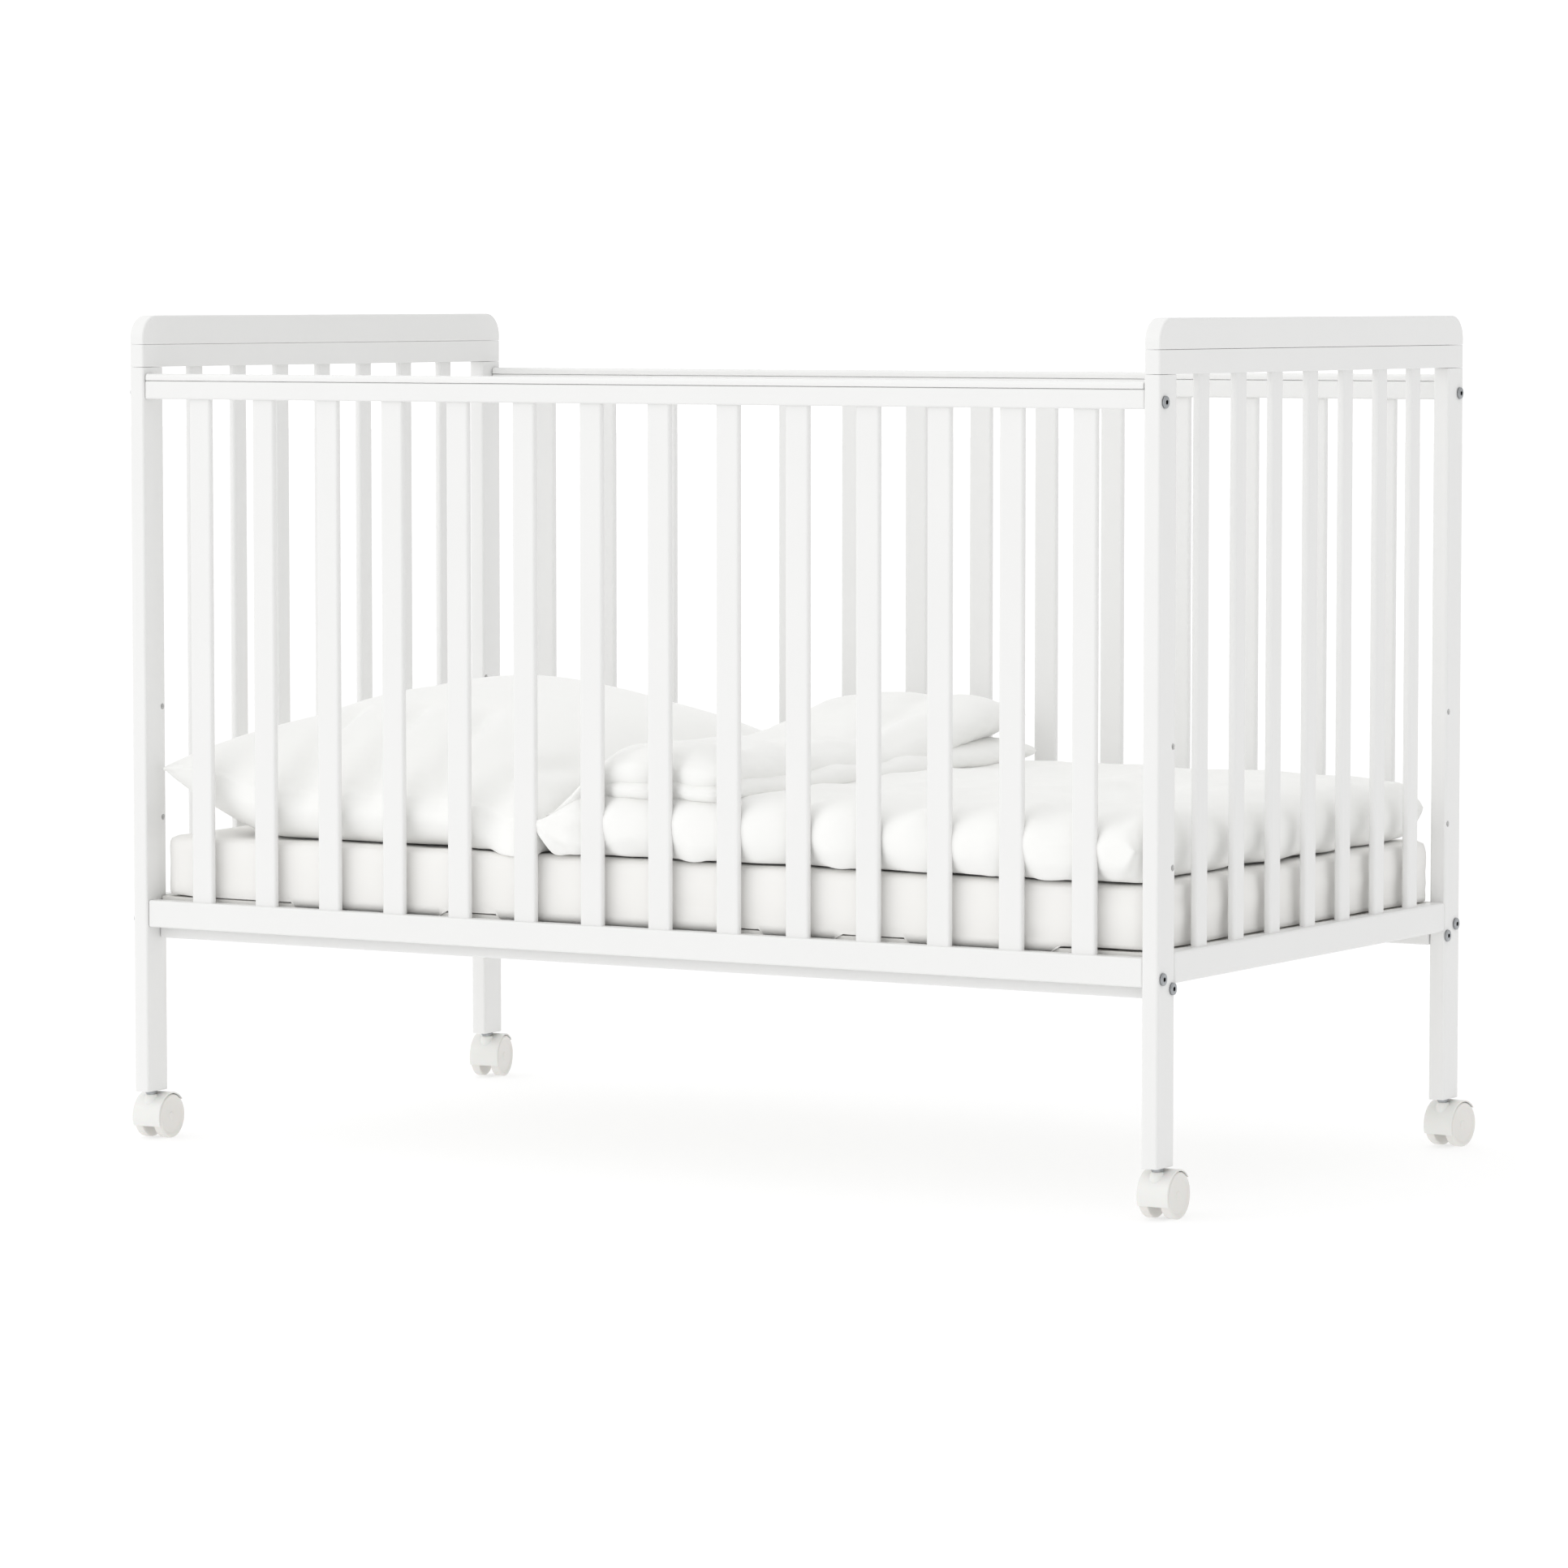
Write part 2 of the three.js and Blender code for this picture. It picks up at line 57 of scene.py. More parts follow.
# Radii of the rounded edges of each kind of wood
POST_EDGE, SLAT_EDGE, SIDE_RAIL_EDGE = 2.6 * MM, 2.8 * MM, 2.2 * MM
END_RAIL_EDGE, BOARD_EDGE, BEAM_EDGE = 2.4 * MM, 2.2 * MM, 2 * MM
JOINT_EDGE = 0.5 * MM  # where one length of wood meets the next in a fine line
BOARD_CORNER_R = 25 * MM  # the two upper corners of a top board
CRISP = 0.6  # radians; edges that turn by more than this are rounded over
SQUARE = 1.2  # radians; edges that turn by more than this are still square

INSIDE = 1204 * MM  # clear length between the posts
SLATS, SLAT_W, SLAT_T = 14, 27 * MM, 8 * MM
SLAT_GAP = (INSIDE - SLATS * SLAT_W) / (SLATS + 1)
SLAT_FOOT = 20 * MM  # height in the lower rail at which a slat starts
LOWER_RAIL_H, TOP_RAIL_H = 29 * MM, 19.5 * MM
LEVEL_PITCH, LEVELS, LEVEL_HOLE_R = 119 * MM, 3, 3.3 * MM


# ---- colours and materials ----
def hex_colour(code):
    """An sRGB hex value as the linear colour that a shader reads."""
    parts = [int(code[i : i + 2], 16) / 255 for i in (1, 3, 5)]
    return [c / 12.92 if c <= 0.04045 else ((c + 0.055) / 1.055) ** 2.4 for c in parts] + [1]


def add_node(tree, kind, settings, inputs):
    """One node with its settings; each input is given a value or is linked to a socket."""
    n = tree.nodes.new(kind)
    for key, value in settings.items():
        setattr(n, key, value)
    for key, value in inputs.items():
        if isinstance(value, bpy.types.NodeSocket):
            tree.links.new(value, n.inputs[key])
        else:
            n.inputs[key].default_value = value
    return n


def new_material(name, **numbers):
    """A material with an empty tree, its shader and the object's own coordinates."""
    m = bpy.data.materials.new(name)
    m.use_nodes = True
    tree = m.node_tree
    tree.nodes.clear()
    shader = add_node(tree, "ShaderNodeBsdfPrincipled", {}, numbers)
    add_node(tree, "ShaderNodeOutputMaterial", {}, {"Surface": shader.outputs[0]})
    place = add_node(tree, "ShaderNodeTexCoord", {}, {}).outputs["Object"]
    return m, tree, shader, place


def two_tones(tree, place, size_mm, light, dark):
    """A soft drift between two close colours, in patches of about that size; gives the pattern
    and the colour."""
    patches = add_node(
        tree,
        "ShaderNodeTexNoise",
        {},
        {"Vector": place, "Scale": 1000 / size_mm, "Detail": 3, "Roughness": 0.5},
    )
    mix = add_node(
        tree,
        "ShaderNodeMix",
        {"data_type": "RGBA"},
        {"Factor": patches.outputs["Fac"], "A": hex_colour(light), "B": hex_colour(dark)},
    )
    return patches.outputs["Fac"], mix.outputs["Result"]


def link(tree, out, into):
    tree.links.new(out, into)


def lacquered_wood(grain):
    """Beech sprayed with white satin lacquer: the grain all but drowned, a slight orange peel."""
    m, tree, shader, place = new_material(
        "white_satin_lacquer_" + grain, **{"IOR": 1.5, "Coat Weight": 0.25, "Coat Roughness": 0.22}
    )
    across, along = 1000 / 2.2, 1000 / 140  # per metre: grain lines 2.2 mm wide and 140 mm long
    scale = [along if axis == grain else across for axis in "xyz"]
    stretched = add_node(tree, "ShaderNodeMapping", {}, {"Vector": place, "Scale": scale})
    lines = add_node(
        tree,
        "ShaderNodeTexNoise",
        {},
        {"Vector": stretched.outputs[0], "Scale": 1.0, "Detail": 3.0, "Roughness": 0.55},
    )
    peel = add_node(
        tree,
        "ShaderNodeTexNoise",
        {},
        {"Vector": place, "Scale": 1000 / 3.0, "Detail": 1.0, "Roughness": 0.4},
    )
    _, colour = two_tones(tree, place, 90, "#EDEDEC", "#EAEAE9")
    link(tree, colour, shader.inputs["Base Color"])
    sheen = add_node(
        tree,
        "ShaderNodeMapRange",
        {},
        {"Value": lines.outputs["Fac"], "To Min": 0.36, "To Max": 0.5},
    )
    link(tree, sheen.outputs[0], shader.inputs["Roughness"])
    soft = add_node(
        tree,
        "ShaderNodeBump",
        {},
        {"Height": peel.outputs["Fac"], "Strength": 0.06, "Distance": 0.02 * MM},
    )
    grained = add_node(
        tree,
        "ShaderNodeBump",
        {},
        {
            "Height": lines.outputs["Fac"],
            "Strength": 0.06,
            "Distance": 0.03 * MM,
            "Normal": soft.outputs[0],
        },
    )
    link(tree, grained.outputs[0], shader.inputs["Normal"])
    return m


def dull_board():
    """Thin beech plywood with one dull coat: warmer than the frame, with open grain."""
    m, tree, shader, place = new_material("dull_plywood", **{"IOR": 1.5})
    across, along = 1000 / 3, 1000 / 160
    stretched = add_node(
        tree, "ShaderNodeMapping", {}, {"Vector": place, "Scale": (along, across, across)}
    )
    lines = add_node(
        tree,
        "ShaderNodeTexNoise",
        {},
        {"Vector": stretched.outputs[0], "Scale": 1.0, "Detail": 5.0, "Roughness": 0.6},
    )
    mix = add_node(
        tree,
        "ShaderNodeMix",
        {"data_type": "RGBA"},
        {
            "Factor": lines.outputs["Fac"],
            "A": hex_colour("#EDECE9"),
            "B": hex_colour("#E6E5E1"),
        },
    )
    link(tree, mix.outputs["Result"], shader.inputs["Base Color"])
    rough = add_node(
        tree,
        "ShaderNodeMapRange",
        {},
        {"Value": lines.outputs["Fac"], "To Min": 0.5, "To Max": 0.7},
    )
    link(tree, rough.outputs[0], shader.inputs["Roughness"])
    bump = add_node(
        tree,
        "ShaderNodeBump",
        {},
        {"Height": lines.outputs["Fac"], "Strength": 0.5, "Distance": 0.15 * MM},
    )
    link(tree, bump.outputs[0], shader.inputs["Normal"])
    return m


def extruded_vinyl():
    """Soft white PVC, extruded: glossy, slightly clear, with faint draw lines along its length."""
    m, tree, shader, place = new_material(
        "extruded_white_vinyl",
        **{"IOR": 1.53, "Subsurface Weight": 0.12, "Subsurface Scale": 2 * MM},
    )
    shader.inputs["Subsurface Radius"].default_value = (1, 1, 0.95)
    across, along = 1000 / 1.5, 1000 / 400
    drawn = add_node(
        tree, "ShaderNodeMapping", {}, {"Vector": place, "Scale": (along, across, across)}
    )
    lines = add_node(
        tree,
        "ShaderNodeTexNoise",
        {},
        {"Vector": drawn.outputs[0], "Scale": 1.0, "Detail": 2.0, "Roughness": 0.5},
    )
    _, colour = two_tones(tree, place, 120, "#EFEFEE", "#EBEBEA")
    link(tree, colour, shader.inputs["Base Color"])
    rough = add_node(
        tree,
        "ShaderNodeMapRange",
        {},
        {"Value": lines.outputs["Fac"], "To Min": 0.14, "To Max": 0.26},
    )
    link(tree, rough.outputs[0], shader.inputs["Roughness"])
    bump = add_node(
        tree,
        "ShaderNodeBump",
        {},
        {"Height": lines.outputs["Fac"], "Strength": 0.3, "Distance": 0.05 * MM},
    )
    link(tree, bump.outputs[0], shader.inputs["Normal"])
    return m


def zinc_plated_steel():
    """Cold-headed steel, bright zinc plated: grey, half gloss, with a faint cloudy bloom."""
    m, tree, shader, place = new_material("zinc_plated_steel", **{"Metallic": 1.0})
    bloom, colour = two_tones(tree, place, 3, "#B4B6B8", "#96999C")
    link(tree, colour, shader.inputs["Base Color"])
    rough = add_node(
        tree, "ShaderNodeMapRange", {}, {"Value": bloom, "To Min": 0.24, "To Max": 0.42}
    )
    link(tree, rough.outputs[0], shader.inputs["Roughness"])
    bump = add_node(
        tree, "ShaderNodeBump", {}, {"Height": bloom, "Strength": 0.3, "Distance": 0.03 * MM}
    )
    link(tree, bump.outputs[0], shader.inputs["Normal"])
    return m


def moulded_nylon(name, light, dark, smooth, dull):
    """Injection-moulded white nylon: milky, with the fine spark-eroded grain of its mould."""
    m, tree, shader, place = new_material(
        name, **{"IOR": 1.53, "Subsurface Weight": 0.08, "Subsurface Scale": 1.5 * MM}
    )
    # The mould's grain is about 0.2 mm; it is drawn at 0.6 mm so that it shows at all.
    grain = add_node(
        tree,
        "ShaderNodeTexNoise",
        {},
        {"Vector": place, "Scale": 1000 / 0.6, "Detail": 2.0, "Roughness": 0.6},
    )
    _, colour = two_tones(tree, place, 25, light, dark)
    link(tree, colour, shader.inputs["Base Color"])
    rough = add_node(
        tree,
        "ShaderNodeMapRange",
        {},
        {"Value": grain.outputs["Fac"], "To Min": smooth, "To Max": dull},
    )
    link(tree, rough.outputs[0], shader.inputs["Roughness"])
    bump = add_node(
        tree,
        "ShaderNodeBump",
        {},
        {"Height": grain.outputs["Fac"], "Strength": 0.3, "Distance": 0.03 * MM},
    )
    link(tree, bump.outputs[0], shader.inputs["Normal"])
    return m


def woven_cotton(name, light, dark, thread_mm, rough_low, rough_high, sheen, crush_mm):
    """Bleached cotton cloth: plain weave over tiny crumples, soft at its edges of light."""
    m, tree, shader, place = new_material(
        name, **{"IOR": 1.5, "Sheen Weight": sheen, "Sheen Roughness": 0.4}
    )
    heights = []
    # Cotton threads lie about 0.3 mm apart; they are drawn wider apart so that they show.
    for axis in "XYZ":
        wave = add_node(
            tree,
            "ShaderNodeTexWave",
            {"bands_direction": axis, "wave_profile": "SIN"},
            {"Vector": place, "Scale": 1000 / thread_mm / 20, "Distortion": 0.6, "Detail": 1.0},
        )
        heights.append(wave.outputs["Fac"])
    weave = heights[0]
    for other in heights[1:]:
        weave = add_node(
            tree, "ShaderNodeMath", {"operation": "ADD"}, {0: weave, 1: other}
        ).outputs[0]
    crumple = add_node(
        tree,
        "ShaderNodeTexNoise",
        {},
        {"Vector": place, "Scale": 1000 / crush_mm, "Detail": 4.0, "Roughness": 0.5},
    )
    _, colour = two_tones(tree, place, 70, light, dark)
    link(tree, colour, shader.inputs["Base Color"])
    rough = add_node(
        tree,
        "ShaderNodeMapRange",
        {},
        {"Value": crumple.outputs["Fac"], "To Min": rough_low, "To Max": rough_high},
    )
    link(tree, rough.outputs[0], shader.inputs["Roughness"])
    crushed = add_node(
        tree,
        "ShaderNodeBump",
        {},
        {"Height": crumple.outputs["Fac"], "Strength": 0.35, "Distance": 1.2 * MM},
    )
    woven = add_node(
        tree,
        "ShaderNodeBump",
        {},
        {
            "Height": weave,
            "Strength": 0.3,
            "Distance": 0.05 * MM,
            "Normal": crushed.outputs[0],
        },
    )
    link(tree, woven.outputs[0], shader.inputs["Normal"])
    return m


wood = {grain: lacquered_wood(grain) for grain in "xyz"}
board_finish = dull_board()
vinyl = extruded_vinyl()
zinc = zinc_plated_steel()
hood_nylon = moulded_nylon("moulded_nylon_hood", "#ECECE9", "#E9E9E6", 0.28, 0.4)
wheel_nylon = moulded_nylon("moulded_nylon_wheel", "#E9E7E3", "#E6E4E0", 0.36, 0.5)
percale = woven_cotton("cotton_percale_sheet", "#F5F4F2", "#F2F1EE", 1.0, 0.75, 0.9, 0.15, 40)
sateen = woven_cotton("cotton_sateen", "#FAFAF8", "#F8F8F6", 0.9, 0.45, 0.6, 0.3, 60)
cambric = woven_cotton("cotton_cambric", "#F6F6F4", "#F3F3F1", 0.9, 0.65, 0.85, 0.2, 45)


# ---- making pieces ----
def finish_piece(name, bm, material, body, nodes):
    """Turns a bmesh into a piece that rides on its body and stands for its CAD nodes."""
    mesh = bpy.data.meshes.new(name)
    bmesh.ops.recalc_face_normals(bm, faces=bm.faces[:])
    for face in bm.faces:
        face.smooth = True
    bm.to_mesh(mesh)
    bm.free()
    piece = bpy.data.objects.new(name, mesh)
    scene.collection.objects.link(piece)
    mesh.materials.append(material)
    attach(piece, body)
    if nodes:
        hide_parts(*nodes)
    return piece


def keep_flats_flat(piece):
    """Big faces keep their own normals, so that only the rounded edges shade as round."""
    even = piece.modifiers.new("flat_faces", "WEIGHTED_NORMAL")
    even.weight = 90
    even.keep_sharp = True


def wooden(name, bm, grain, nodes, body="root"):
    """A finished piece of the painted frame."""
    piece = finish_piece("wood_" + name, bm, wood[grain], body, nodes)
    keep_flats_flat(piece)


def round_edges(bm, edges, radius, steps=3):
    """Rounds those edges over in that many steps."""
    bmesh.ops.bevel(
        bm,
        geom=edges,
        offset=radius,
        offset_type="OFFSET",
        segments=steps,
        profile=0.5,
        affect="EDGES",
        clamp_overlap=True,
        material=-1,
    )


def edges_over(bm, angle):
    """The edges at which the surface turns by more than that angle."""
    bm.normal_update()
    return [e for e in bm.edges if e.calc_face_angle(0) > angle]


def plank(lo, hi, radius=0):
    """A straight block between two corners, with its edges rounded over."""
    bm = bmesh.new()
    bmesh.ops.create_cube(bm, size=1)
    bmesh.ops.scale(bm, vec=Vector(hi) - Vector(lo), verts=bm.verts)
    bmesh.ops.translate(bm, vec=(Vector(hi) + Vector(lo)) / 2, verts=bm.verts)
    if radius:
        round_edges(bm, bm.edges[:], radius)
    return bm


def jointed(lo, hi, radius):
    """A length of wood with rounded upright edges; its level edges stay nearly square, so that
    it meets the wood above and below it in a fine line."""
    bm = plank(lo, hi)
    upright = [e for e in bm.edges if abs(e.verts[0].co.z - e.verts[1].co.z) > TINY]
    round_edges(bm, upright, radius)
    round_edges(bm, edges_over(bm, SQUARE), JOINT_EDGE, 2)
    return bm


def together(parts):
    """Several closed shapes as one bmesh."""
    whole = bmesh.new()
    for part in parts:
        mesh = bpy.data.meshes.new("part")
        part.to_mesh(mesh)
        part.free()
        whole.from_mesh(mesh)
        bpy.data.meshes.remove(mesh)
    return whole


def pin(centre, radius, length, steps=24):
    """A round bar along x, through a point."""
    bm = bmesh.new()
    bmesh.ops.create_cone(
        bm, cap_ends=True, segments=steps, radius1=radius, radius2=radius, depth=length
    )
    spin = Matrix.Rotation(math.radians(90), 4, "Y")
    bmesh.ops.transform(bm, matrix=Matrix.Translation(centre) @ spin, verts=bm.verts)
    return bm


def bore(piece, pins):
    """Drills holes in a finished piece."""
    drill = together(pins)
    mesh = bpy.data.meshes.new("drill")
    drill.to_mesh(mesh)
    drill.free()
    tool = bpy.data.objects.new("drill", mesh)
    scene.collection.objects.link(tool)
    hole = piece.modifiers.new("holes", "BOOLEAN")
    hole.operation = "DIFFERENCE"
    hole.solver = "EXACT"
    hole.object = tool
    bpy.context.view_layer.update()
    shown = piece.evaluated_get(bpy.context.evaluated_depsgraph_get())
    drilled = bpy.data.meshes.new_from_object(shown)
    piece.modifiers.clear()
    piece.data = drilled
    bpy.data.objects.remove(tool)


# ---- frame: posts, boards, rails and slats ----
for corner in CORNERS:
    name = "post_" + corner
    lo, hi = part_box(name)
    bm = jointed(lo, hi, POST_EDGE)
    post = finish_piece("wood_" + name, bm, wood["z"], "root", [name])
    bolt_lo, bolt_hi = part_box("bolt_base_" + corner)
    bolt_at = (bolt_lo + bolt_hi) / 2
    centre_x = (lo.x + hi.x) / 2
    heights = [bolt_at.z + level * LEVEL_PITCH for level in range(LEVELS)]
    bore(post, [pin((centre_x, bolt_at.y, z), LEVEL_HOLE_R, 50 * MM) for z in heights])
    keep_flats_flat(post)

for end in ENDS:
    name = end + "_top_board"
    lo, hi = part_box(name)
    bm = plank(lo, hi)
    corners = []
    for e in bm.edges:
        a, b = (v.co for v in e.verts)
        if min(a.z, b.z) > hi.z - TINY and abs(a.y - b.y) < TINY:
            corners.append(e)
    round_edges(bm, corners, BOARD_CORNER_R, 12)
    outline = [e for e in edges_over(bm, CRISP) if max(v.co.z for v in e.verts) > lo.z + TINY]
    round_edges(bm, outline, BOARD_EDGE)
    round_edges(bm, edges_over(bm, SQUARE), JOINT_EDGE, 2)
    wooden(name, bm, "y", [name])
    name = end + "_upper_rail"
    wooden(name, jointed(*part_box(name), POST_EDGE), "y", [name])
    name = end + "_lower_rail"
    wooden(name, plank(*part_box(name), END_RAIL_EDGE), "y", [name])
    for i in range(1, 8):
        name = f"{end}_slat_{i}"
        wooden(name, plank(*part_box(name), SLAT_EDGE), "z", [name])

for side in SIDES:
    # The lower rail and its slats are one CAD node and two pieces, for the grain of each.
    name = side + "_lower_rail_and_slats"
    lo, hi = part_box(name)
    bm = plank(lo, (hi.x, hi.y, lo.z + LOWER_RAIL_H), SIDE_RAIL_EDGE)
    wooden(side + "_lower_rail", bm, "x", [name])
    middle = (lo.y + hi.y) / 2
    bars = []
    for i in range(SLATS):
        left = -INSIDE / 2 + SLAT_GAP * (i + 1) + SLAT_W * i
        foot = (left, middle - SLAT_T / 2, lo.z + SLAT_FOOT)
        head = (left + SLAT_W, middle + SLAT_T / 2, hi.z)
        bars.append(plank(foot, head, SLAT_EDGE))
    wooden(side + "_slats", together(bars), "z", [name])
    name = side + "_top_rail"
    lo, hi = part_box(name)
    wooden(name, plank(lo, (hi.x, hi.y, lo.z + TOP_RAIL_H), SIDE_RAIL_EDGE), "x", [name])
    # The guard is a strip of soft plastic on the rail, rounder along its two upper edges.
    name = side + "_teething_guard"
    lo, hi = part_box(name)
    bm = plank(lo, hi)
    along = []
    for e in bm.edges:
        a, b = (v.co for v in e.verts)
        if min(a.z, b.z) > hi.z - TINY and abs(a.x - b.x) > TINY:
            along.append(e)
    round_edges(bm, along, 3.4 * MM, 6)
    round_edges(bm, edges_over(bm, CRISP), 0.9 * MM)
    keep_flats_flat(finish_piece("vinyl_" + name, bm, vinyl, "root", [name]))

for side in SIDES:
    name = "base_beam_" + side
    wooden(name, plank(*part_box(name), BEAM_EDGE), "x", [name], "mattress_base")
frame["nodes"]["base_deck"].data.materials.clear()
frame["nodes"]["base_deck"].data.materials.append(board_finish)


# ---- bolts: a low round head with a six-sided key socket ----
SOCKET_R, SOCKET_DEPTH, SHANK_R, HEAD_H, ROUND = 2.3 * MM, 1.7 * MM, 2.9 * MM, 2.2 * MM, 48


def bolt_head(lo, hi, outward):
    """The head stands on the post's face; outward is +1 or -1 along x."""
    bm = bmesh.new()
    radius = (hi.z - lo.z) / 2
    rim = bmesh.ops.create_circle(bm, segments=ROUND, radius=SOCKET_R)["verts"]
    flats = math.radians(60)  # the rim of the round socket is pushed out to a hexagon
    for v in rim:
        from_flat = math.atan2(v.co.y, v.co.x) % flats - flats / 2
        v.co *= math.cos(flats / 2) / math.cos(from_flat) * 1.12
    rings = [rim]
    outline = [
        (SHANK_R, 0.0),
        (radius - 0.9 * MM, 0.0),
        (radius - 0.3 * MM, -0.25 * MM),
        (radius, -0.9 * MM),
        (radius, -HEAD_H),
        (SHANK_R, -HEAD_H),
        (SHANK_R, lo.x - hi.x),
    ]
    for r, z in outline:
        ring = bmesh.ops.create_circle(bm, segments=ROUND, radius=r)["verts"]
        for v in ring:
            v.co.z = z
        rings.append(ring)
    bottom = bmesh.ops.create_circle(bm, segments=ROUND, radius=SOCKET_R)["verts"]
    for v, like in zip(bottom, rim):
        v.co = like.co + Vector((0, 0, -SOCKET_DEPTH))
    for a, b in zip([bottom] + rings[:-1], rings):
        edges = set()
        for ring in (a, b):
            edges |= {e for v in ring for e in v.link_edges if e.other_vert(v) in ring}
        bmesh.ops.bridge_loops(bm, edges=list(edges))
    bm.faces.new(bottom)
    bm.faces.new(rings[-1])
    bmesh.ops.translate(bm, vec=(0, 0, hi.x if outward > 0 else -lo.x), verts=bm.verts)
    turn = Matrix.Rotation(math.radians(90 * outward), 4, "Y")
    place = Matrix.Translation((0, (lo.y + hi.y) / 2, (lo.z + hi.z) / 2)) @ turn
    bmesh.ops.transform(bm, matrix=place, verts=bm.verts)
    return bm


for corner in CORNERS:
    for kind in ("bolt_side_low_", "bolt_side_high_", "bolt_base_"):
        name = kind + corner
        lo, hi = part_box(name)
        outward = 1 if lo.x > 0 else -1
        bm = bolt_head(lo, hi, outward)
        keep_flats_flat(finish_piece("zinc_" + name, bm, zinc, "root", [name]))


# ---- soft goods, with places in metres on the frame's own axes ----
def ease(t):
    """From 0 to 1 with a soft start and end, as t goes from 0 to 1."""
    t = max(0.0, min(1.0, t))
    return t * t * (3 - 2 * t)


def stuffed_case(lo, hi, seam, over, under, pull, cells):
    """A closed cloth case that fills a box. Its two layers meet in a seam at that height.
    Over and under are powers for x and for y of the layer above and below the seam: low gives
    a dome, high a slab. Pull draws in its sides."""
    bm = bmesh.new()
    bmesh.ops.create_grid(bm, x_segments=cells[0], y_segments=cells[1], size=1)
    second = bmesh.ops.duplicate(bm, geom=bm.verts[:] + bm.edges[:] + bm.faces[:])
    below = {v for v in second["geom"] if isinstance(v, bmesh.types.BMVert)}
    middle, half = (Vector(lo) + Vector(hi)) / 2, (Vector(hi) - Vector(lo)) / 2
    for v in bm.verts:
        u, w = (math.sin(c * math.pi / 2) for c in v.co[:2])
        power = under if v in below else over
        rise = max(0.0, (1 - abs(u) ** power[0]) * (1 - abs(w) ** power[1])) ** 0.5
        far = (lo[2] if v in below else hi[2]) - seam
        x = middle.x + u * half.x * (1 - pull * (1 - w * w))
        y = middle.y + w * half.y * (1 - pull * (1 - u * u))
        v.co = Vector((x, y, seam + rise * far))
    bmesh.ops.remove_doubles(bm, verts=bm.verts[:], dist=1e-6)
    bmesh.ops.recalc_face_normals(bm, faces=bm.faces[:])
    return bm


PUFF_FRAMES = 20


def puff(bm, pressure, cap):
    """Blows the case up a little by cloth simulation; no point moves further than cap."""
    mesh = bpy.data.meshes.new("case")
    bm.to_mesh(mesh)
    case = bpy.data.objects.new("case", mesh)
    scene.collection.objects.link(case)
    cloth = case.modifiers.new("cloth", "CLOTH")
    how = cloth.settings
    how.quality = 5
    how.use_pressure = True
    how.uniform_pressure_force = pressure
    how.effector_weights.gravity = 0.0
    cloth.collision_settings.use_collision = False
    cloth.point_cache.frame_start, cloth.point_cache.frame_end = 1, PUFF_FRAMES
    for step in range(1, PUFF_FRAMES + 1):
        scene.frame_set(step)
    filled = case.evaluated_get(bpy.context.evaluated_depsgraph_get())
    bm.verts.ensure_lookup_table()
    for v, moved in zip(bm.verts, filled.data.vertices):
        move = moved.co - v.co
        v.co += move * min(1.0, cap / max(move.length, 1e-9))
    scene.frame_set(1)
    bpy.data.objects.remove(case)


def pucker(bm, seam, width, depth, pitch, seed):
    """Short gathers that run in from the seam, and folds that fan out from each corner."""
    low = Vector([min(v.co[i] for v in bm.verts) for i in range(3)])
    high = Vector([max(v.co[i] for v in bm.verts) for i in range(3)])
    bm.normal_update()
    moves = []
    for v in bm.verts:
        p = v.co
        in_x, in_y = min(p.x - low.x, high.x - p.x), min(p.y - low.y, high.y - p.y)
        drift = noise.noise(p * 14 + Vector((seed, 0, 0))) * 2.4
        gather = math.sin(p.x / pitch * math.tau + drift) * math.exp(-in_y / width)
        gather += math.sin(p.y / pitch * math.tau + drift) * math.exp(-in_x / width)
        fan = math.atan2(in_y + 4 * MM, in_x + 4 * MM)
        round_corner = math.exp(-math.hypot(in_x, in_y) / (width * 1.8))
        gather += 1.5 * math.sin(fan * 11 + drift * 0.5) * round_corner
        ridge = 0.35 + 0.65 * noise.noise(p * 9 + Vector((0, seed, 0)))
        moves.append(v.normal * (depth * gather * ridge))
    for v, move in zip(bm.verts, moves):
        if abs(v.co.z - seam) > 1 * MM:
            v.co += move


def rest_on(bm, height, soften):
    """Presses the underside flat where it lies on something."""
    for v in bm.verts:
        d = (v.co.z - height) / soften
        v.co.z = height + soften * (d if d > 20 else math.log1p(math.exp(d)))


def press_against_slats(bm, face, depth):
    """Cloth that leans on the front slats is pushed in by each slat and swells between them."""
    reach, dent = 45 * MM, 19 * MM
    pitch = SLAT_GAP + SLAT_W
    first = -INSIDE / 2 + pitch - SLAT_W / 2
    for v in bm.verts:
        near = ease((face + reach - v.co.y) / reach)
        if near <= 0:
            continue
        from_slat = (v.co.x - first + pitch / 2) % pitch - pitch / 2
        v.co.y += depth * near * math.exp(-((from_slat / dent) ** 2))


def crease(bm, size, depth, stretch=(1, 1, 1), seed=0, only=None):
    """Soft folds of about that size: the surface moves in and out along its own normals, in
    full or by the share that only gives for a place."""
    bm.normal_update()
    shift = Vector((seed * 7.3, seed * 3.1, seed * 5.7))
    moves = []
    for v in bm.verts:
        p = Vector([v.co[i] / size * stretch[i] for i in range(3)]) + shift
        folds = 1 - abs(noise.noise(p)) * 2.2
        share = 1 if only is None else only(v.co)
        moves.append(v.normal * (depth * folds * share))
    for v, move in zip(bm.verts, moves):
        v.co += move


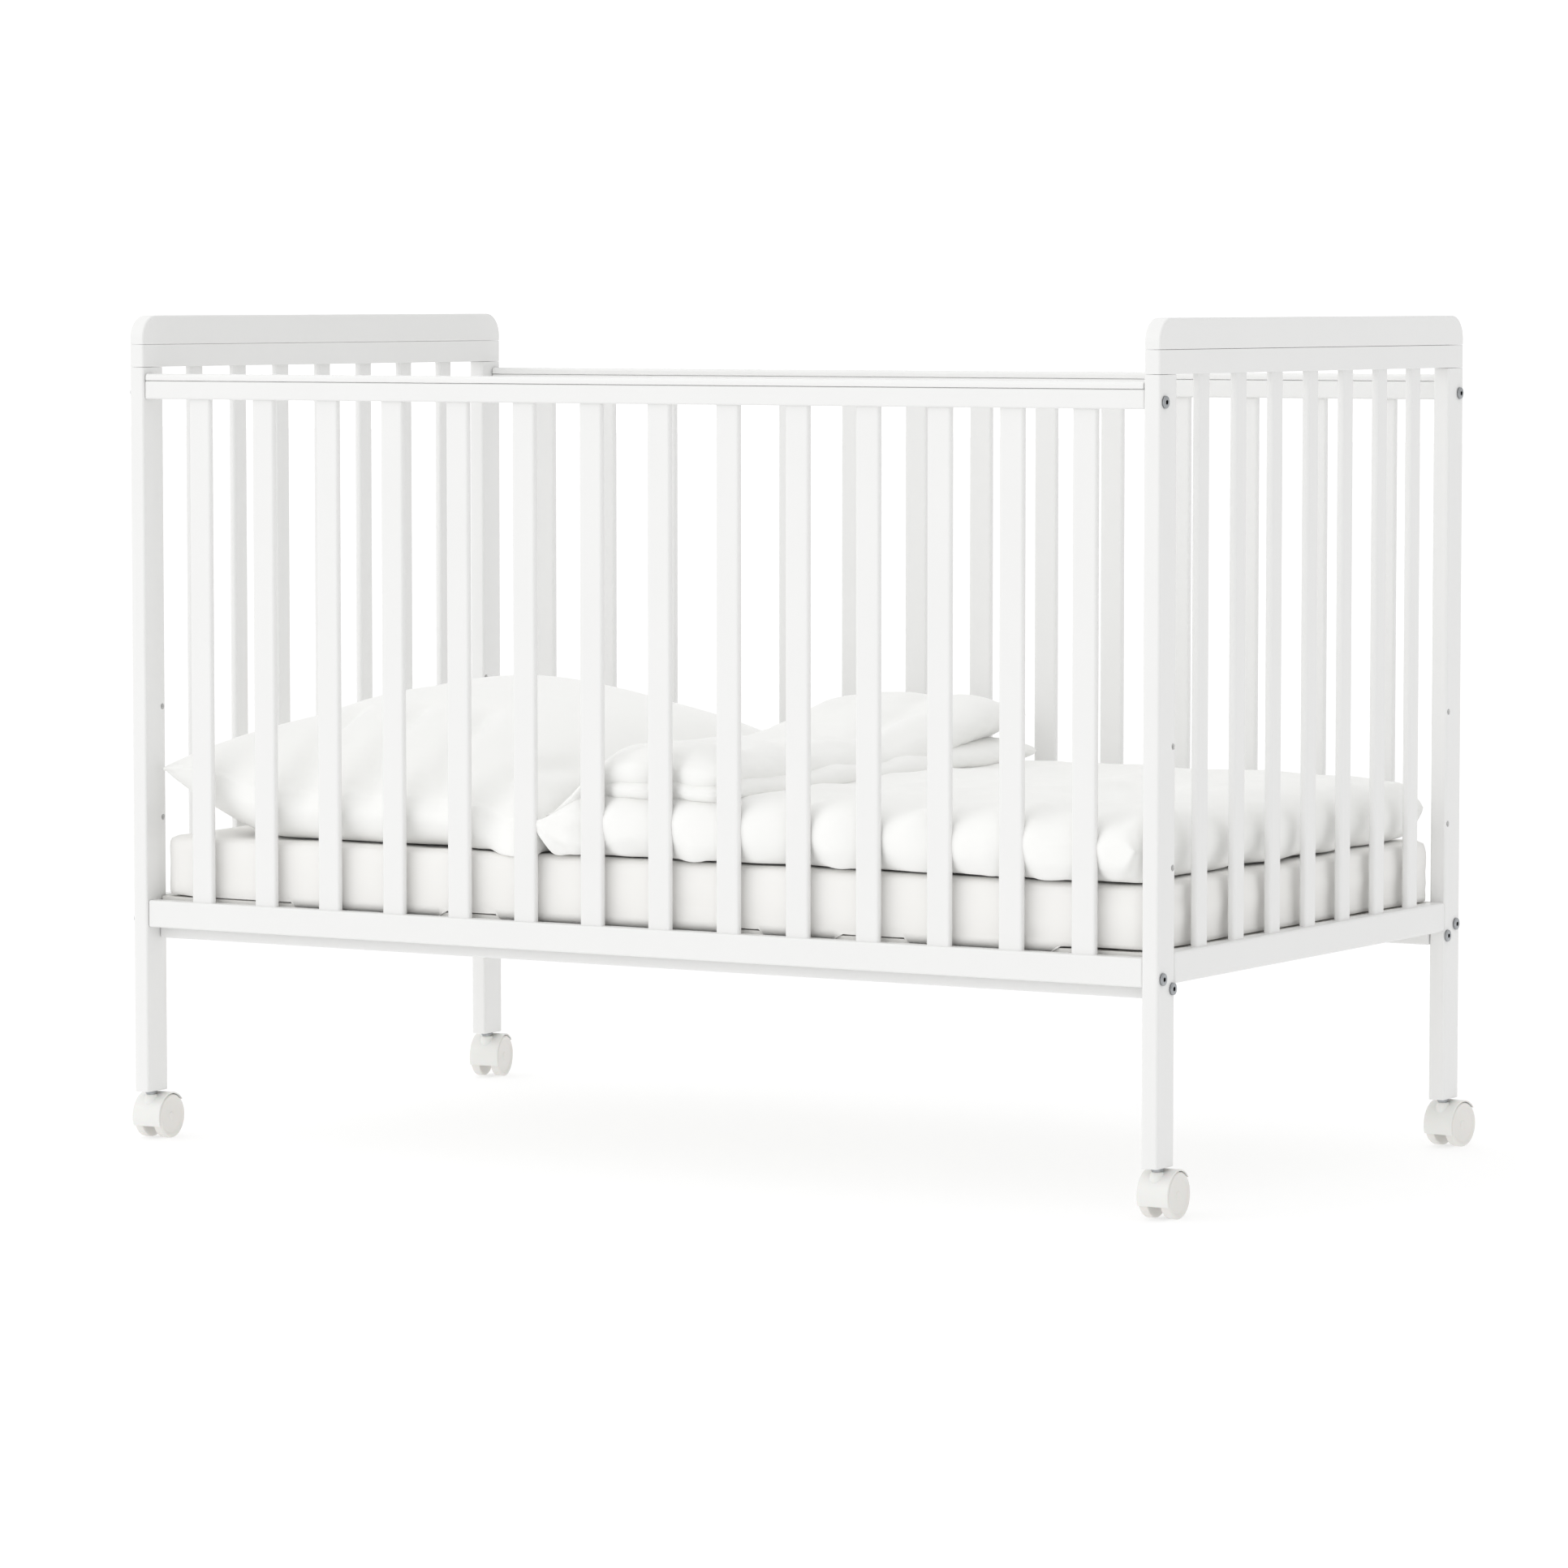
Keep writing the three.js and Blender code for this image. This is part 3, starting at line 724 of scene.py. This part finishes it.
def fold_line(bm, start, end, width, depth):
    """A soft valley in the surface along a line from start to end, fading out at both ends."""
    a, along = Vector(start), Vector(end) - Vector(start)
    bm.normal_update()
    moves = []
    for v in bm.verts:
        t = (v.co - a).dot(along) / along.length_squared
        off = v.co - a - along * max(0.0, min(1.0, t))
        beside = Vector((off.x, off.y * 0.5, off.z * 0.25)).length / width
        share = ease(0.5 + min(t, 1 - t) * 2.5) if -0.3 < t < 1.3 else 0.0
        moves.append(v.normal * (-depth * share * math.exp(-beside * beside)))
    for v, move in zip(bm.verts, moves):
        v.co += move


def piped_edge(bm, seam, out):
    """The sewn edge stands out a little all round."""
    bm.normal_update()
    edge = [v for v in bm.verts if abs(v.co.z - seam) < 2.5 * MM and abs(v.normal.z) < 0.6]
    for v in edge:
        v.co += v.normal * out


def soft_piece(name, bm, material, node, smooth=True):
    """A finished padded piece that rides on the base."""
    piece = finish_piece(name, bm, material, "mattress_base", [node])
    if smooth:
        finer = piece.modifiers.new("smooth", "SUBSURF")
        finer.levels = finer.render_levels = 1


# The mattress: a foam block in a fitted sheet, its corners rounded in plan and on its edges.
lo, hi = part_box("mattress")
bm = plank(lo, hi)
for axis, cuts in ((0, 119), (1, 63), (2, 9)):
    for k in range(1, cuts + 1):
        at = lo[axis] + (hi[axis] - lo[axis]) * k / (cuts + 1)
        facing = Vector([1 if i == axis else 0 for i in range(3)])
        bmesh.ops.bisect_plane(
            bm,
            geom=bm.verts[:] + bm.edges[:] + bm.faces[:],
            plane_co=facing * at,
            plane_no=facing,
            dist=1e-7,
        )
middle, half = (lo + hi) / 2, (hi - lo) / 2
CORNER_R, EDGE_R, HEM_R = 24 * MM, 9 * MM, 3 * MM  # in plan, along the top, along the bottom
for v in bm.verts:
    p = v.co - middle
    plan = Vector([math.copysign(max(0, abs(p[i]) - half[i] + CORNER_R), p[i]) for i in (0, 1)])
    base = Vector((p.x, p.y)) - plan
    out = max(abs(plan.x), abs(plan.y))
    way = plan.normalized() if plan.length > 1e-9 else Vector((0, 0))
    edge = EDGE_R if p.z > 0 else HEM_R
    s = max(0, out - (CORNER_R - edge))
    t = max(0, abs(p.z) - (half.z - edge))
    if math.hypot(s, t) > 1e-9:
        k = max(s, t) / math.hypot(s, t)
        out = min(out, CORNER_R - edge) + s * k
        p.z = math.copysign(min(abs(p.z), half.z - edge) + t * k, p.z)
    base += way * out
    v.co = middle + Vector((base.x, base.y, p.z))


def on_its_sides(co):
    """1 on the upright sides of the mattress, 0 on the middle of its top."""
    inset = min(co.x - lo.x, hi.x - co.x, co.y - lo.y, hi.y - co.y)
    return ease(1 - inset / (30 * MM))


def towards_its_ends(co):
    """More of the sides near the head and the foot, where the sheet is gathered."""
    inset = min(co.x - lo.x, hi.x - co.x)
    return on_its_sides(co) * (0.35 + 0.65 * ease(1 - inset / (260 * MM)))


crease(bm, 240 * MM, -1.6 * MM, seed=3, only=lambda co: 1 - 0.6 * on_its_sides(co))
crease(bm, 60 * MM, -1.9 * MM, stretch=(0.28, 0.28, 2.2), seed=5, only=towards_its_ends)
# The sheet's hem hangs a little over the long edges of the deck, in front of it.
HEM_DROP = 6 * MM
for v in bm.verts:
    v.co.z = max(v.co.z, lo.z)
    side = math.copysign(1, v.co.y - middle.y)
    inset = half.y - abs(v.co.y - middle.y)
    share = ease((half.x - abs(v.co.x - middle.x) - CORNER_R) / (15 * MM))
    if v.co.z < lo.z + 1.5 * MM and inset < 13 * MM:
        outermost = inset < 6 * MM
        v.co.z -= (HEM_DROP if outermost else 0) * share
        v.co.y += side * (inset + (1.6 * MM if outermost else -0.8 * MM)) * share
soft_piece("sheeted_mattress", bm, percale, "mattress", smooth=False)

# The pillow: a sewn case, plump, its front left corner drawn to a point and lifted, the front
# right one pressed down by the duvet.
top = hi.z
SEAM = top + 52 * MM
PILLOW_LOW, PILLOW_HIGH = (-0.598, -0.334, top - 0.012), (-0.114, 0.283, 0.4855)
bm = stuffed_case(PILLOW_LOW, PILLOW_HIGH, SEAM, (1.8, 1.9), (2.6, 16.0), 0.04, (84, 100))
puff(bm, 4.0, 4 * MM)
crease(bm, 170 * MM, -2.6 * MM, seed=2)
# Three long folds rise from the front seam, and a short one runs towards the duvet.
for x, lean in ((-0.425, 0.015), (-0.335, 0.02), (-0.245, 0.03)):
    fold_line(bm, (x, -0.322, 0.385), (x - lean, -0.190, 0.468), 12 * MM, 13 * MM)
fold_line(bm, (-0.185, -0.320, 0.372), (-0.150, -0.200, 0.400), 13 * MM, 10 * MM)
pucker(bm, SEAM, 26 * MM, 1.8 * MM, 42 * MM, 1)
piped_edge(bm, SEAM, 2.2 * MM)
for v in bm.verts:
    at_front = ease((-0.12 - v.co.y) / 0.2)
    belly = ease((SEAM + 12 * MM - v.co.z) / (34 * MM))  # the part below the seam
    v.co.z += 20 * MM * ease((-0.44 - v.co.x) / 0.15) * at_front
    v.co.z -= 14 * MM * ease((v.co.x + 0.26) / 0.15) * at_front
    v.co.z -= 30 * MM * ease((v.co.x + 0.25) / 0.13) * belly * at_front
    lying = ease((v.co.x + 0.56) / 0.12)  # all but the lifted corner
    v.co.y -= 17 * MM * belly * lying * ease((-0.25 - v.co.y) / 0.07)
    v.co.x += 15 * MM * belly * ease((v.co.x + 0.19) / 0.08) * at_front
rest_on(bm, top + 0.6 * MM, 2 * MM)
# The lowest cloth at the front sags over the mattress's edge.
for v in bm.verts:
    over_the_edge = ease((-0.318 - v.co.y) / 0.02) * ease((top + 12 * MM - v.co.z) / (12 * MM))
    v.co.z -= 5 * MM * over_the_edge
    v.co.y = max(v.co.y, -0.3395)
soft_piece("sateen_pillow", bm, sateen, "pillow")

# The duvet: folded flat, with its head edge turned back over it twice as a thick roll.
TIP = Vector((-0.112, -0.344, top + 36 * MM))
FILL_PRESSURE, FILL_CAP = 3.0, 3 * MM


def drawn_to_a_tip(bm, reach):
    """The front left corner of every layer narrows over that reach to one point, in a fan of
    pleats."""
    for v in bm.verts:
        share = ease((TIP.x + reach - v.co.x) / reach) * ease((-0.20 - v.co.y) / 0.13)
        v.co.z += (TIP.z - v.co.z) * share * (0.92 if v.co.z > TIP.z else 0)
        away = v.co - TIP
        fan = math.atan2(away.z, away.x + 8 * MM)
        pleat = math.sin(fan * 13) * math.exp(-(((away.x - 35 * MM) / (34 * MM)) ** 2))
        v.co.y -= 3 * MM * pleat * ease((-0.25 - v.co.y) / 0.05)


def duvet_layer(name, lo, hi, seam, powers, cells, seed, tip, crown=(), lines=()):
    """One fold of the duvet. Tip is the reach of its narrowing corner, crown how far it is
    lifted at the front, middle and rear, and lines are its placed folds."""
    bm = stuffed_case(lo, hi, seam, powers, powers, 0.0, cells)
    puff(bm, FILL_PRESSURE, FILL_CAP)
    crease(bm, 120 * MM, -4.2 * MM, seed=seed)
    crease(bm, 48 * MM, -2.4 * MM, stretch=(1, 0.5, 1), seed=seed + 4)
    for start, end, width, depth in lines:
        fold_line(bm, start, end, width, depth)
    pucker(bm, seam, 20 * MM, 2.2 * MM, 31 * MM, seed)
    if crown:
        front, middle, rear = crown
        for v in bm.verts:
            t = (v.co.y + 0.34) / 0.64
            v.co.z += front + (middle - front) * ease(t * 2) + (rear - middle) * ease(t * 2 - 1)
    drawn_to_a_tip(bm, tip)
    press_against_slats(bm, lo[1], 11.5 * MM)
    for v in bm.verts:
        v.co.y = max(v.co.y, lo[1])
    rest_on(bm, top + 0.8 * MM, 2.0 * MM)
    # The lowest cloth at the front hangs over the mattress's edge.
    for v in bm.verts:
        hanging = ease((-0.331 - v.co.y) / 0.01) * ease((top + 14 * MM - v.co.z) / (14 * MM))
        v.co.z -= 6 * MM * hanging
    soft_piece(name, bm, cambric, "duvet")


duvet_layer(
    "duvet_lower_fold",
    (-0.116, -0.350, top - 0.008),
    (0.592, 0.302, 0.399),
    top + 34 * MM,
    (22, 15),
    (110, 96),
    3,
    0.05,
    lines=[
        ((0.20, -0.345, 0.372), (0.24, -0.300, 0.400), 9 * MM, 4 * MM),
        ((0.33, -0.345, 0.366), (0.36, -0.290, 0.400), 10 * MM, 4 * MM),
        ((0.47, -0.345, 0.370), (0.45, -0.280, 0.400), 10 * MM, 4 * MM),
        ((0.585, -0.330, 0.362), (0.56, -0.240, 0.372), 12 * MM, 10 * MM),
        ((0.30, -0.10, 0.40), (0.52, 0.12, 0.40), 16 * MM, 4 * MM),
        ((0.590, -0.20, 0.368), (0.590, 0.22, 0.360), 9 * MM, 5 * MM),
    ],
)
duvet_layer(
    "duvet_upper_fold",
    (-0.112, -0.347, 0.386),
    (0.132, 0.300, 0.421),
    0.403,
    (9, 24),
    (44, 90),
    6,
    0.065,
    crown=(-0.004, -0.002, 0.004),
)
duvet_layer(
    "duvet_turned_back",
    (-0.112, -0.348, 0.392),
    (0.116, 0.300, 0.447),
    0.420,
    (5.0, 18),
    (44, 90),
    9,
    0.095,
    crown=(-0.002, -0.010, 0.026),
    lines=[
        ((-0.02, -0.346, 0.440), (0.01, -0.10, 0.450), 12 * MM, 6 * MM),
        ((0.045, -0.350, 0.405), (0.06, -0.22, 0.446), 9 * MM, 6 * MM),
        ((0.06, 0.00, 0.450), (0.03, 0.26, 0.450), 12 * MM, 5 * MM),
        ((0.02, -0.12, 0.450), (0.10, 0.02, 0.440), 12 * MM, 4 * MM),
    ],
)


# ---- casters ----
# A caster is made with its stem on the z axis and its axle along x, and then put in its place.
WHEEL_R, HOOD_R, HOOD_IN, HALF_W, TRAIL = 23.5 * MM, 26 * MM, 24.4 * MM, 17.5 * MM, 14.5 * MM
HOOD_FROM, HOOD_TO, HOOD_STEPS = 202, 42, 40  # degrees round the axle
WEB_FROM, WEB_TO, WEB_STEPS = 200, 60, 24
AXLE = Vector((0, TRAIL, WHEEL_R))


def swept(points, start, stop, steps):
    """An outline of (x, radius) pairs carried round the axle from one angle to another, and
    closed at both ends."""
    bm = bmesh.new()
    verts = [bm.verts.new(AXLE + Vector((x, r, 0))) for x, r in points]
    for a, b in zip(verts, verts[1:] + verts[:1]):
        bm.edges.new((a, b))
    turn = Matrix.Translation(AXLE) @ Matrix.Rotation(math.radians(start), 4, "X")
    bmesh.ops.transform(bm, matrix=turn @ Matrix.Translation(-AXLE), verts=bm.verts)
    first = bm.edges[:]
    bmesh.ops.contextual_create(bm, geom=first)
    made = bmesh.ops.spin(
        bm,
        geom=first,
        cent=AXLE,
        axis=(1, 0, 0),
        angle=math.radians(stop - start),
        steps=steps,
        use_merge=False,
    )
    last = [e for e in made["geom_last"] if isinstance(e, bmesh.types.BMEdge)]
    bmesh.ops.contextual_create(bm, geom=last)
    return bm


def turned(points, centre, axis, steps):
    """A full turn of an open outline whose ends lie on the axis."""
    bm = bmesh.new()
    verts = [bm.verts.new(p) for p in points]
    for a, b in zip(verts, verts[1:]):
        bm.edges.new((a, b))
    bmesh.ops.spin(
        bm,
        geom=bm.verts[:] + bm.edges[:],
        cent=centre,
        axis=axis,
        angle=math.tau,
        steps=steps,
        use_merge=True,
    )
    bmesh.ops.remove_doubles(bm, verts=bm.verts[:], dist=1e-6)
    return bm


def on_the_stem(outline, steps):
    """A full turn round the stem of an outline of (radius, height) pairs in millimetres."""
    return turned([(r * MM, 0, z * MM) for r, z in outline], (0, 0, 0), (0, 0, 1), steps)


def hood():
    """A curved shell over the wheels, a web and a hub between them, and a boss for the stem."""
    r = 1.1 * MM  # rounding of the shell's outer edges
    angles = (0, 0.4, 0.8, 1.2)
    arc = [(HALF_W - r + r * math.sin(a), HOOD_R - r + r * math.cos(a)) for a in angles]
    outline = (
        [(-x, y) for x, y in reversed(arc)]
        + arc
        + [(HALF_W, HOOD_IN + 0.3 * MM), (HALF_W - 0.3 * MM, HOOD_IN)]
        + [(-HALF_W + 0.3 * MM, HOOD_IN), (-HALF_W, HOOD_IN + 0.3 * MM)]
    )
    shell = swept(outline, HOOD_FROM, HOOD_TO, HOOD_STEPS)
    round_edges(shell, edges_over(shell, SQUARE), 0.4 * MM, 2)
    side, low, high = 3 * MM, 7 * MM, 25 * MM
    section = [(-side, low), (-side, high), (side, high), (side, low)]
    web = swept(section, WEB_FROM, WEB_TO, WEB_STEPS)
    hub = pin(AXLE, 7.5 * MM, 6 * MM, 32)
    outline = [(0, 34), (7.8, 34), (7.7, 40), (7.4, 43), (6.9, 45.6), (6.2, 47.2), (5.6, 47.9)]
    boss = on_the_stem(outline + [(0, 47.9)], 48)
    return together([shell, web, hub, boss])


def wheel(side):
    """A solid wheel with a rim round its dished face; side is -1 or +1 along the axle."""
    outline = [
        (0, 16.3),
        (3.6, 16.3),
        (4.3, 16.1),
        (4.7, 15.6),
        (5.3, 15.5),
        (16.8, 15.7),
        (18.6, 16.0),
        (19.8, 16.9),
        (20.9, 17.4),
        (21.9, 17.4),
        (22.9, 16.9),
        (23.4, 16.1),
        (23.5, 15.2),
        (23.5, 8.4),
        (23.3, 7.7),
        (22.6, 7.1),
        (20.5, 7.0),
        (0, 7.0),
    ]
    points = [AXLE + Vector((side * x * MM, r * MM, 0)) for r, x in outline]
    return turned(points, AXLE, (1, 0, 0), 72)


def neck():
    """The bare part of the stem, with its collar under the post."""
    outline = [(0, 44), (5.5, 44), (5.5, 49), (6.6, 49.4), (6.6, 50.9), (6.1, 51.5), (0, 51.5)]
    return on_the_stem(outline, 40)


spots = {j["name"]: j for j in frame["joints"]}
for corner in CORNERS:
    stem = Vector(spots[f"caster_{corner}_swivel"]["pos_m"])
    axle = Vector(spots[f"caster_{corner}_wheel_a_spin"]["axis"])
    yaw = math.atan2(axle.y, axle.x)
    place = Matrix.Translation((stem.x, stem.y, 0)) @ Matrix.Rotation(yaw, 4, "Z")
    body = "caster_" + corner
    for kind, bm, material, slot, rides, stands_for in (
        ("hood", hood(), hood_nylon, "nylon", body, [body + "_housing"]),
        ("neck", neck(), zinc, "steel", body, []),
        ("wheel_a", wheel(-1), wheel_nylon, "tread", body + "_wheel_a", [body + "_wheel_a"]),
        ("wheel_b", wheel(1), wheel_nylon, "tread", body + "_wheel_b", [body + "_wheel_b"]),
    ):
        bmesh.ops.transform(bm, matrix=place, verts=bm.verts)
        keep_flats_flat(finish_piece(f"{body}_{kind}", bm, material, rides, stands_for))


# ---- camera, light and floor ----
LENS, SENSOR = 151.7, 36  # millimetres
CAMERA_AT, LOOKS_DOWN, LOOKS_ASIDE = (3.616, -6.0424, 0.9095), 4.265, 31.03  # metres, degrees
FLOOR_HALF, FLOOR_GLOW = 30, 0.57  # the floor glows, as a white sweep lit from all sides does
ROOM, WINDOW = 0.93, 0.31  # brightness of the room, and how far it leans to one side
BACKDROP = 1.2  # what the camera sees behind the floor, a little over white
BRIGHT_SIDE = (-0.83, -0.32, 0.46)

camera_data = bpy.data.cameras.new("camera")
camera_data.lens = LENS
camera_data.sensor_width = SENSOR
camera = bpy.data.objects.new("camera", camera_data)
scene.collection.objects.link(camera)
camera.location = CAMERA_AT
camera.rotation_euler = (math.radians(90 - LOOKS_DOWN), 0, math.radians(LOOKS_ASIDE))
scene.camera = camera

floor_bm = bmesh.new()
bmesh.ops.create_grid(floor_bm, x_segments=2, y_segments=2, size=FLOOR_HALF)
floor_mesh = bpy.data.meshes.new("floor")
floor_bm.to_mesh(floor_mesh)
floor_bm.free()
floor = bpy.data.objects.new("floor", floor_mesh)
scene.collection.objects.link(floor)
pale, tree, shader, place = new_material("pale_floor", **{"Roughness": 0.9})
_, colour = two_tones(tree, place, 900, "#B2B2B2", "#B0B0B0")
link(tree, colour, shader.inputs["Base Color"])
shader.inputs["Emission Color"].default_value = (1, 1, 1, 1)
shader.inputs["Emission Strength"].default_value = FLOOR_GLOW
floor_mesh.materials.append(pale)

# The room is a white studio, a little brighter on the left, where the window is.
studio = bpy.data.worlds.new("studio")
scene.world = studio
studio.use_nodes = True
tree = studio.node_tree
way = add_node(tree, "ShaderNodeTexCoord", {}, {}).outputs["Generated"]
facing = add_node(
    tree, "ShaderNodeVectorMath", {"operation": "DOT_PRODUCT"}, {0: way, 1: BRIGHT_SIDE}
)
glow = add_node(
    tree,
    "ShaderNodeMapRange",
    {"clamp": False},
    {
        "Value": facing.outputs["Value"],
        "From Min": -1,
        "From Max": 1,
        "To Min": ROOM - WINDOW,
        "To Max": ROOM + WINDOW,
    },
)
tree.nodes["Background"].inputs["Color"].default_value = (1, 1, 1, 1)
seen = add_node(tree, "ShaderNodeLightPath", {}, {}).outputs["Is Camera Ray"]
backdrop = add_node(
    tree,
    "ShaderNodeMix",
    {"data_type": "FLOAT"},
    {"Factor": seen, "A": glow.outputs[0], "B": BACKDROP},
)
link(tree, backdrop.outputs[0], tree.nodes["Background"].inputs["Strength"])


# The window is a large soft lamp; it aims at the middle of the crib.
window_data = bpy.data.lights.new("window", "AREA")
window_data.shape = "RECTANGLE"
window_data.size, window_data.size_y = 3.0, 2.4
window_data.energy = 12
window = bpy.data.objects.new("window", window_data)
scene.collection.objects.link(window)
window.location = (-2.6, -4.4, 3.2)
aim = Vector((0, 0, 0.4)) - window.location
window.rotation_euler = aim.to_track_quat("-Z", "Y").to_euler()
scene.view_settings.view_transform = "Standard"
